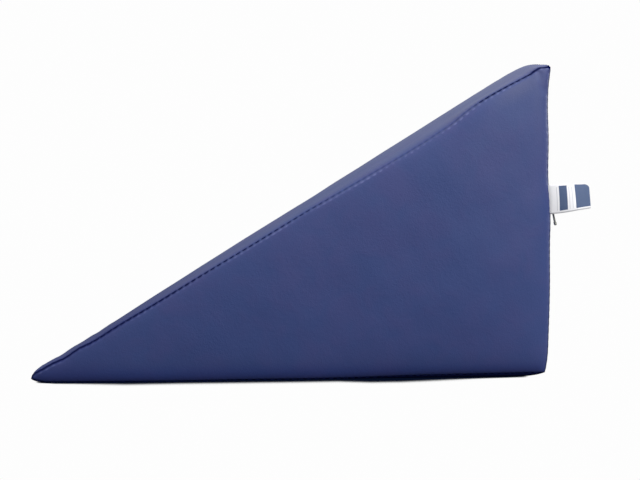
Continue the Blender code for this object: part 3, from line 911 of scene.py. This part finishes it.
def vinyl_finish(settings):
    """Supple navy vinyl: a fine leather grain and faint cloudy wear, with painted light:
    highlights on the seam rolls, between stitches and below the top corners, and shade by the
    floor, at the thin end and in the seams."""
    finish = Finish("vinyl_navy", Specular_IOR_Level=0.32)
    place = finish.place()
    x, z = finish.axis(place, 0), finish.axis(place, 2)
    # The stored gap is painted shade in the seams and on the base's rolled edge, and below zero
    # painted highlights between stitches
    seam, marks = finish.stored("seam"), finish.stored("gap")
    cloud = finish.noise(place, 0.075, 3.0, 0.55)
    blotch = finish.noise(place, 0.026, 4.0, 0.6, 0.6)
    pebble = finish.noise(place, 0.0026, 2.0, 0.6)
    speck = finish.noise(place, 0.0009, 2.0, 0.6)
    facing = finish.node("ShaderNodeNewGeometry", output=1)
    lying = finish.ramped(finish.axis(facing, 2), 0.3, 0.6)
    standing = 1.0 - lying
    wear = finish.ramped(cloud * 0.6 + blotch * 0.4, 0.40, 0.66)
    # Painted highlight on the vinyl's roll beside each seam
    rubbed = finish.band(seam, 0.0012, 0.0048, 0.0011)
    # Painted shade low down by the floor
    low = 1.0 - finish.ramped(z, 0.002, 0.020)
    # Painted shade towards the thin end, on the side panels and on the slope
    thin_end = finish.ramped(x, -0.145, -0.225)
    thin_slope = lying * finish.ramped(x, -0.075, -0.175)
    # Painted sheen on the side panels just below the top corners
    corner = finish.band(x, 0.198, 0.236, 0.020) * finish.ramped(seam, 0.021, 0.003)
    corner = corner * finish.ramped(z, 0.19, 0.25) * standing
    # Real cloudy wear, with the painted highlight beside the seams mixed in
    shade = finish.mixed(wear * 0.8 + rubbed * 0.2, settings.vinyl, settings.vinyl_worn_and_sheen)
    for share, over in (
        # Painted shade by the floor
        (low * standing * 0.45, settings.vinyl_floor_shade),
        # Painted shade at the thin end
        (thin_end * standing * 0.35, settings.vinyl_tip_shade),
        (thin_slope * 0.85, settings.vinyl_tip_shade),
        # Painted sheen below the top corners
        (corner, settings.vinyl_corner_sheen),
        # Painted highlights between the stitches, where the stored gap is below zero
        (finish.ramped(marks * -1.0, 0.05, 0.9), settings.stitch_highlight),
    ):
        shade = finish.mixed(share, shade, over)
    top = finish.risen(x, -0.17, 0.25)
    use = settings.dull - (settings.dull + settings.polish) * top
    roughness = settings.roughness + use * lying + thin_slope * 0.10
    roughness = roughness + (blotch - 0.5) * 0.10 + (speck - 0.5) * 0.12
    dimples = finish.bumped(finish.cells(place, 0.0011), 0.00010, 0.55)
    pebbled = finish.bumped(pebble, 0.00022, 0.5, Normal=dimples)
    creases = finish.bumped(blotch, 0.0009, 0.30, Normal=pebbled)
    finish.surface(Base_Color=shade, Roughness=roughness, Normal=creases)
    # Painted shade in the seams: a dark matte shader shown where the stored gap is high
    finish.covered(marks, finish.node("ShaderNodeBsdfDiffuse", {}, {"Color": settings.gap}))
    return finish.material


class WEDGE_OT_cover(bpy.types.Operator):
    """Sew the vinyl cover from its five panels"""

    bl_idname = "wedge.cover"
    bl_label = "Cover"

    def execute(self, context):
        data = sewn_cover(Cover(context.scene))
        vinyl = vinyl_finish(context.scene.wedge_cover)
        piece = placed("wedge_cover", data, vinyl, "cover", "cushion")
        return {"FINISHED"}


def ring(centre, side, up, radius):
    """Points round a centre."""
    turns = [2.0 * math.pi * n / RING_POINTS for n in range(RING_POINTS)]
    return [centre + (side * math.cos(turn) + up * math.sin(turn)) * radius for turn in turns]


def thread_mesh(name, threads):
    """One smooth mesh of closed threads, each given by its rings of points."""
    points, faces = [], []
    for rings in threads:
        for row in range(len(rings) - 1):
            a = len(points) + row * RING_POINTS
            for n in range(RING_POINTS):
                m = (n + 1) % RING_POINTS
                faces.append((a + n, a + m, a + m + RING_POINTS, a + n + RING_POINTS))
        first = range(len(points), len(points) + RING_POINTS)
        points += [point for ring in rings for point in ring]
        faces += [tuple(first)[::-1], tuple(range(len(points) - RING_POINTS, len(points)))]
    return smooth_mesh(name, points, faces)


def stitch_rings(ends, outward, lift, radius):
    """One stitch: a short bent thread that dips at both ends."""
    half_length = (ends[1] - ends[0]).length / 2
    ends = [end + outward * lift for end in ends]
    along = (ends[1] - ends[0]).normalized()
    middle = (ends[0] + ends[1]) / 2
    across = along.cross(outward).normalized()
    return [
        ring(middle + along * (place * half_length) + outward * (rise * radius),
             across, outward, radius * size)
        for place, size, rise in STITCH_PROFILE
    ]


def sewn_lines(cover):
    """Each seam of the cover: a function from a share of it to its point on a panel, its
    length, its outward direction and the steps by which the vinyl hides its stitches."""
    s, one = cover.set, np.ones(1)
    slope_out = Vector(cover.slope_out)
    back_out, under = Vector((1.0, 0.0, 0.0)), Vector((0.0, 0.0, -1.0))
    slope_length, rise = s.length / cover.cos, s.corner_height - cover.foot_z
    for side in (-1, 1):
        y, out = one * side * cover.side_y, Vector((0.0, side, 0.0))

        def slope(share, y=y):
            return cover.slope_panel(one * share, y)

        def base(share, y=y):
            return cover.base_panel(one * share, y)

        def back(share, y=y):
            return cover.back_panel(y, one * (cover.foot_z + share * rise))

        yield slope, slope_length, out + slope_out, THREAD_SUNK
        yield base, s.length, out + under, THREAD_OPEN
        yield back, rise, out + back_out, THREAD_OPEN
    for panel, end, out in (
        (cover.slope_panel, 1.0, slope_out + back_out),
        (cover.base_panel, 1.0, under + back_out),
        (cover.slope_panel, 0.0, -back_out),
    ):

        def across(share, panel=panel, end=end):
            return panel(one * end, one * (share - 0.5) * s.width)

        yield across, s.width, out, THREAD_OPEN


class WEDGE_OT_stitches(bpy.types.Operator):
    """Lay the thread of every seam"""

    bl_idname = "wedge.stitches"
    bl_label = "Stitches"

    def execute(self, context):
        s = context.scene.wedge_cover
        radius = s.stitch_width / 2
        stitches = []
        for panel, span, outward, sunk in sewn_lines(Cover(context.scene)):
            reach = STITCH_REACH * s.stitch_pitch / span
            for n in range(1, int(span / s.stitch_pitch)):
                middle = n * s.stitch_pitch / span
                ends = [Vector(panel(middle + way * reach)[0][0]) for way in (-1, 1)]
                lift = radius * (THREAD_LIFT - THREAD_DROP * float(stepped(sunk, middle)))
                stitches.append(stitch_rings(ends, outward.normalized(), lift, radius))
        finish = Finish("thread_navy", Roughness=0.8, Specular_IOR_Level=0.08)
        twist = finish.noise(finish.place(), 0.0005, 1.0)
        shade = finish.mixed(twist, s.thread, tinted(s.thread, 2.2))
        finish.surface(Base_Color=shade, Normal=finish.bumped(twist, 0.0001, 0.5))
        placed("seam_thread", thread_mesh("seam_thread", stitches), finish.material, "cover")
        return {"FINISHED"}


def ribbon_line(settings):
    """The folded ribbon's middle line: how far out, and how far across."""
    half = settings.apart / 2
    straight = settings.reach - half - settings.layer / 2
    step = (straight + settings.tuck) / (RIBBON_STEPS + 1)
    outs = [n * step - settings.tuck for n in range(RIBBON_STEPS + 1)]
    turns = [math.pi * n / FOLD_STEPS for n in range(FOLD_STEPS + 1)]
    fold = [(straight + half * math.sin(a), -half * math.cos(a)) for a in turns]
    return [*((out, -half) for out in outs), *fold, *((out, half) for out in reversed(outs))]


def folded_ribbon(s, cover):
    """The care label's mesh, with each point's place along the ribbon and across it."""
    points, places_along, places_across = [], [], []
    line = ribbon_line(s)
    for out, across in line:
        share = max(0.0, out / s.reach)
        twist = s.twist * float(eased(share))
        cut = s.corner * (1.0 - float(rolled(s.reach - out, s.corner)))
        clear = s.out * float(eased((out + s.tuck) / (2.0 * s.tuck)))
        for n in range(RIBBON_ROWS + 1):
            high = n / RIBBON_ROWS
            v = (high - 0.5) * s.width - cut * max(0.0, 2.0 * high - 1.0) ** 2
            sag = 0.0004 * math.sin(9.0 * share + 2.0 * high) * share
            b = across * (0.3 + 0.7 * math.sin(math.pi * high)) + sag
            y = b * math.cos(twist) + v * math.sin(twist)
            z = v * math.cos(twist) - b * math.sin(twist) + s.middle + s.rise * share
            drawn = float(cover.drawn_in(np.array([z]), 0.0)[0])
            x = cover.back_x - drawn * (1.0 - share) + out + s.lean * v * share
            points.append((x, y - cover.side_y - clear, z))
            places_along.append(out if across < 0 else -out)
            places_across.append(v)
    row = RIBBON_ROWS + 1
    starts = [a + n for a in range(0, row * (len(line) - 1), row) for n in range(RIBBON_ROWS)]
    faces = [(a, a + row, a + row + 1, a + 1) for a in starts]
    return smooth_mesh("care_ribbon", points, faces, along=places_along, across=places_across)


def satin_finish(settings):
    """White woven satin with two plain printed blocks and three thin bars."""
    finish = Finish("satin_white", Specular_IOR_Level=0.4, Sheen_Weight=0.15)
    along, across = finish.stored("along"), finish.stored("across")
    blocks = sum(
        finish.band(along, near, far, 0.00008) * finish.band(across, low, high, 0.00008)
        for near, far, low, high in LABEL_BLOCKS
    )
    bars = sum(
        finish.band(along, middle - half, middle + half, 0.0001) for middle, half in LABEL_BARS
    )
    bars = bars * finish.band(across, -BAR_HALF, BAR_HALF, 0.0001)
    weave = finish.ribs("Z", 1400.0, Distortion=0.4)
    cloud = finish.noise(finish.place(), 0.006, 3.0)
    shade = finish.mixed(cloud * 0.25, settings.satin, tinted(settings.satin, 0.8))
    shade = finish.mixed(bars * 0.5, shade, settings.pale_ink)
    shade = finish.mixed(blocks, shade, settings.ink)
    woven = finish.bumped(weave, 0.00006, 0.6)
    finish.surface(Base_Color=shade, Roughness=0.42 + cloud * 0.15, Normal=woven)
    return finish.material


class WEDGE_OT_label(bpy.types.Operator):
    """Fold the care label's ribbon and sew it into the back seam"""

    bl_idname = "wedge.label"
    bl_label = "Care label"

    def execute(self, context):
        s = context.scene.wedge_label
        data = folded_ribbon(s, Cover(context.scene))
        piece = placed("care_ribbon", data, satin_finish(s), "label", "care_label")
        solid = piece.modifiers.new("thickness", "SOLIDIFY")
        solid.thickness = s.layer
        solid.offset = 0.0
        return {"FINISHED"}


def metal_finish(settings):
    """Dull zinc with fine brush marks, lighter towards the pull's lower end."""
    finish = Finish("zinc_grey", Metallic=0.75)
    place = finish.place()
    brushed = finish.noise(finish.stretched(1.0, 1.0, 0.12), 0.0004, 2.0)
    cloud = finish.ramped(finish.noise(place, 0.004, 3.0), 0.35, 0.7)
    shade = finish.mixed(cloud, tinted(settings.metal, 0.55), settings.metal)
    # Lighter towards the pull's lower end
    lower_end = 1.0 - finish.ramped(finish.axis(place, 2), 0.147, 0.151)
    shade = finish.mixed(lower_end, shade, settings.metal_lower_end)
    marks = finish.bumped(brushed, 0.00003, 0.5)
    finish.surface(Base_Color=shade, Roughness=0.34 + brushed * 0.22, Normal=marks)
    return finish.material


def tape_finish(settings):
    """Woven zip tape with fine ribs across it."""
    finish = Finish("tape_navy", Roughness=0.85, Sheen_Weight=0.2)
    ribs = finish.ribs("Y", 420.0, Distortion=0.6, Detail=1.0)
    weave = ribs * 0.6 + finish.noise(finish.stretched(1.0, 0.3, 1.0), 0.0006, 2.0) * 0.4
    shade = finish.mixed(weave, tinted(settings.tape, 0.6), tinted(settings.tape, 1.5))
    finish.surface(Base_Color=shade, Normal=finish.bumped(ribs, 0.0002, 0.7))
    return finish.material


def coil_finish(settings):
    """Smooth navy nylon, a little cloudy."""
    finish = Finish("coil_navy", Roughness=0.35)
    cloud = finish.noise(finish.place(), 0.003, 2.0)
    finish.surface(Base_Color=finish.mixed(cloud, tinted(settings.coil, 0.6), settings.coil))
    return finish.material


def coil_mesh(settings):
    """The closed coil, turn by turn, as thick as the packed model's coil."""
    rows = {}
    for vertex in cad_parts["zip_chain"].data.vertices:
        rows.setdefault(round(vertex.co.y, 5), []).append(vertex.co.x)
    ys = sorted(rows)
    low, high = ([end(rows[y]) for y in ys] for end in (min, max))
    turns = []
    count = int((ys[-1] - ys[0]) / settings.tooth_pitch)
    for n in range(count):
        y = ys[0] + (n + 0.5) * (ys[-1] - ys[0]) / count
        x = float(np.interp(y, ys, low))
        thick = float(np.interp(y, ys, high)) - x
        sign = 1 if n % 2 else -1
        path = [
            Vector((x + thick * deep, y + along, settings.height + sign * up))
            for deep, along, up in COIL_TURN
        ]
        rings = []
        for before, point, after in zip([path[0], *path], path, [*path[1:], path[-1]]):
            heading = (after - before).normalized()
            side = heading.cross(Vector((0.31, 0.87, 0.38))).normalized()
            rings.append(ring(point, side, heading.cross(side), COIL_THREAD * thick))
        turns.append(rings)
    return thread_mesh("zip_coil", turns)


def swing_out(data, settings):
    """Swing the pull outwards about the middle of its eye."""
    eye = [v.co.x for v in data.vertices if abs(v.co.z - settings.height) < 0.002]
    pivot = Vector((sum(eye) / len(eye), 0.0, settings.height))
    turn = Matrix.Rotation(-settings.swing, 4, "Y")
    data.transform(Matrix.Translation(pivot) @ turn @ Matrix.Translation(-pivot))


class WEDGE_OT_zip(bpy.types.Operator):
    """Give the zip its woven tape, coil, slider and pull"""

    bl_idname = "wedge.zip"
    bl_label = "Zip"

    def execute(self, context):
        s = context.scene.wedge_zip
        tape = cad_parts["zip_tape"].data.materials
        tape.clear()
        tape.append(tape_finish(s))
        placed("zip_coil", coil_mesh(s), coil_finish(s), "coil", "zip_chain")
        metal = metal_finish(s)
        for node in ("zip_slider", "zip_pull"):
            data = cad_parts[node].data.copy()
            if node == "zip_pull":
                swing_out(data, s)
            piece = placed(node + "_rounded", data, metal, "slider_metal", node)
            bevel = piece.modifiers.new("rounding", "BEVEL")
            bevel.width = s.rounding
            bevel.segments = 3
            bevel.limit_method = "ANGLE"
        return {"FINISHED"}


def floor_finish(s):
    """A pale floor that the camera sees lit evenly, with a painted contact shadow close to the
    cushion.
    """
    finish = Finish("floor_white", Roughness=0.9, Base_Color=(s.bounce, s.bounce, s.bounce))
    inputs = {"Distance": SHADOW_DISTANCE, "Color": WHITE}
    shade = finish.node("ShaderNodeAmbientOcclusion", {"samples": 24}, inputs, output=1)
    place = finish.place()
    along = finish.axis(place, 0)
    near = finish.ramped(finish.axis(place, 1), 0.05, -0.05)
    inputs = {0: (along + 0.25) * 2.0}
    reach = finish.node("ShaderNodeValToRGB", {"stops": SHADOW_REACH}, inputs)
    reach = reach * near + (1.0 - near) * 0.45
    open_end = finish.ramped(along, 0.224, 0.246) * 0.5
    lit = finish.ramped(shade - reach * 0.85 + 0.55 + open_end, 0.47, 0.73)
    lit = finish.mixed(lit, s.shadow, s.floor)
    seen = finish.node("ShaderNodeEmission", {}, {"Color": lit, "Strength": 1.0})
    finish.covered(finish.node("ShaderNodeLightPath"), seen)
    return finish.material


def studio_world(s):
    """Soft light from all round, which the camera sees as the floor's colour."""
    world = bpy.data.worlds.new("studio")
    finish = Finish("studio", world, "Background")
    heading = finish.node("ShaderNodeTexCoord")
    height = finish.axis(heading, 2)
    front = s.horizon + (1.0 - s.horizon) * finish.risen(height, -0.05, 0.55)
    back = s.behind + (1.25 - s.behind) * finish.risen(height, 0.04, 0.42)
    share = finish.risen(finish.axis(heading, 1), 0.1, 0.6)
    light = (front + (back - front) * share) * s.ambient
    seen = finish.node("ShaderNodeLightPath")
    finish.surface(Color=WHITE, Strength=light + (s.floor[0] - light) * seen)
    return world


def softbox(name, power, size, place, target):
    """A soft rectangular light that faces a point."""
    lamp = bpy.data.lights.new(name, "AREA")
    lamp.shape = "RECTANGLE"
    lamp.size, lamp.size_y = size
    lamp.energy = power
    light = bpy.data.objects.new(name, lamp)
    light.location = place
    away = Vector(target) - light.location
    light.rotation_euler = away.to_track_quat("-Z", "Y").to_euler()
    bpy.context.scene.collection.objects.link(light)


class WEDGE_OT_studio(bpy.types.Operator):
    """Set up the pale floor, the soft light and the camera"""

    bl_idname = "wedge.studio"
    bl_label = "Studio"

    def execute(self, context):
        scene = context.scene
        s = scene.wedge_studio
        scene.view_settings.view_transform = "Standard"
        half = s.floor_size / 2
        data = bpy.data.meshes.new("studio_floor")
        corners = [(-half, -half, 0.0), (half, -half, 0.0), (half, half, 0.0), (-half, half, 0.0)]
        data.from_pydata(corners, [], [(0, 1, 2, 3)])
        data.materials.append(floor_finish(s))
        floor = bpy.data.objects.new("studio_floor", data)
        scene.collection.objects.link(floor)
        scene.world = studio_world(s)
        softbox("overhead", s.key_power, (1.4, 1.0), (0.35, -0.35, 1.30), (0.10, 0.0, 0.12))
        softbox("right_front", s.fill_power, (0.9, 0.8), (0.85, -1.15, 0.85), (0.20, -0.1, 0.2))
        softbox("right_behind", s.back_power, (1.2, 1.0), (2.0, 0.85, 0.80), (0.25, 0.0, 0.15))
        lens = bpy.data.cameras.new("photo_camera")
        lens.sensor_width = 36.0
        lens.lens = s.focal
        camera = bpy.data.objects.new("photo_camera", lens)
        camera.location = s.camera
        camera.rotation_euler = (math.radians(90.0), 0.0, -s.yaw)
        scene.collection.objects.link(camera)
        scene.camera = camera
        return {"FINISHED"}


OPERATORS = (
    WEDGE_OT_studio,
    WEDGE_OT_cover,
    WEDGE_OT_stitches,
    WEDGE_OT_label,
    WEDGE_OT_zip,
)
SETTINGS = {
    "wedge_cover": WedgeCoverSettings,
    "wedge_label": WedgeLabelSettings,
    "wedge_zip": WedgeZipSettings,
    "wedge_studio": WedgeStudioSettings,
}


class WEDGE_PT_sidebar(bpy.types.Panel):
    """The cushion's pieces and their sizes"""

    bl_label = "Wedge Cushion"
    bl_idname = "WEDGE_PT_sidebar"
    bl_space_type = "VIEW_3D"
    bl_region_type = "UI"
    bl_category = "Wedge Cushion"

    def draw(self, context):
        for operator in OPERATORS:
            self.layout.operator(operator.bl_idname)
        for name, group in SETTINGS.items():
            box = self.layout.box()
            box.label(text=group.__doc__)
            for field in group.__annotations__:
                box.prop(getattr(context.scene, name), field)


def register():
    for group in (*SETTINGS.values(), *OPERATORS, WEDGE_PT_sidebar):
        bpy.utils.register_class(group)
    for name, group in SETTINGS.items():
        setattr(bpy.types.Scene, name, PointerProperty(type=group))


def unregister():
    for name in SETTINGS:
        delattr(bpy.types.Scene, name)
    for group in (WEDGE_PT_sidebar, *OPERATORS, *SETTINGS.values()):
        bpy.utils.unregister_class(group)


def main():
    register()
    for operator in OPERATORS:
        group, name = operator.bl_idname.split(".")
        getattr(getattr(bpy.ops, group), name)()
    bpy.context.view_layer.update()


if __name__ == "__main__":
    main()
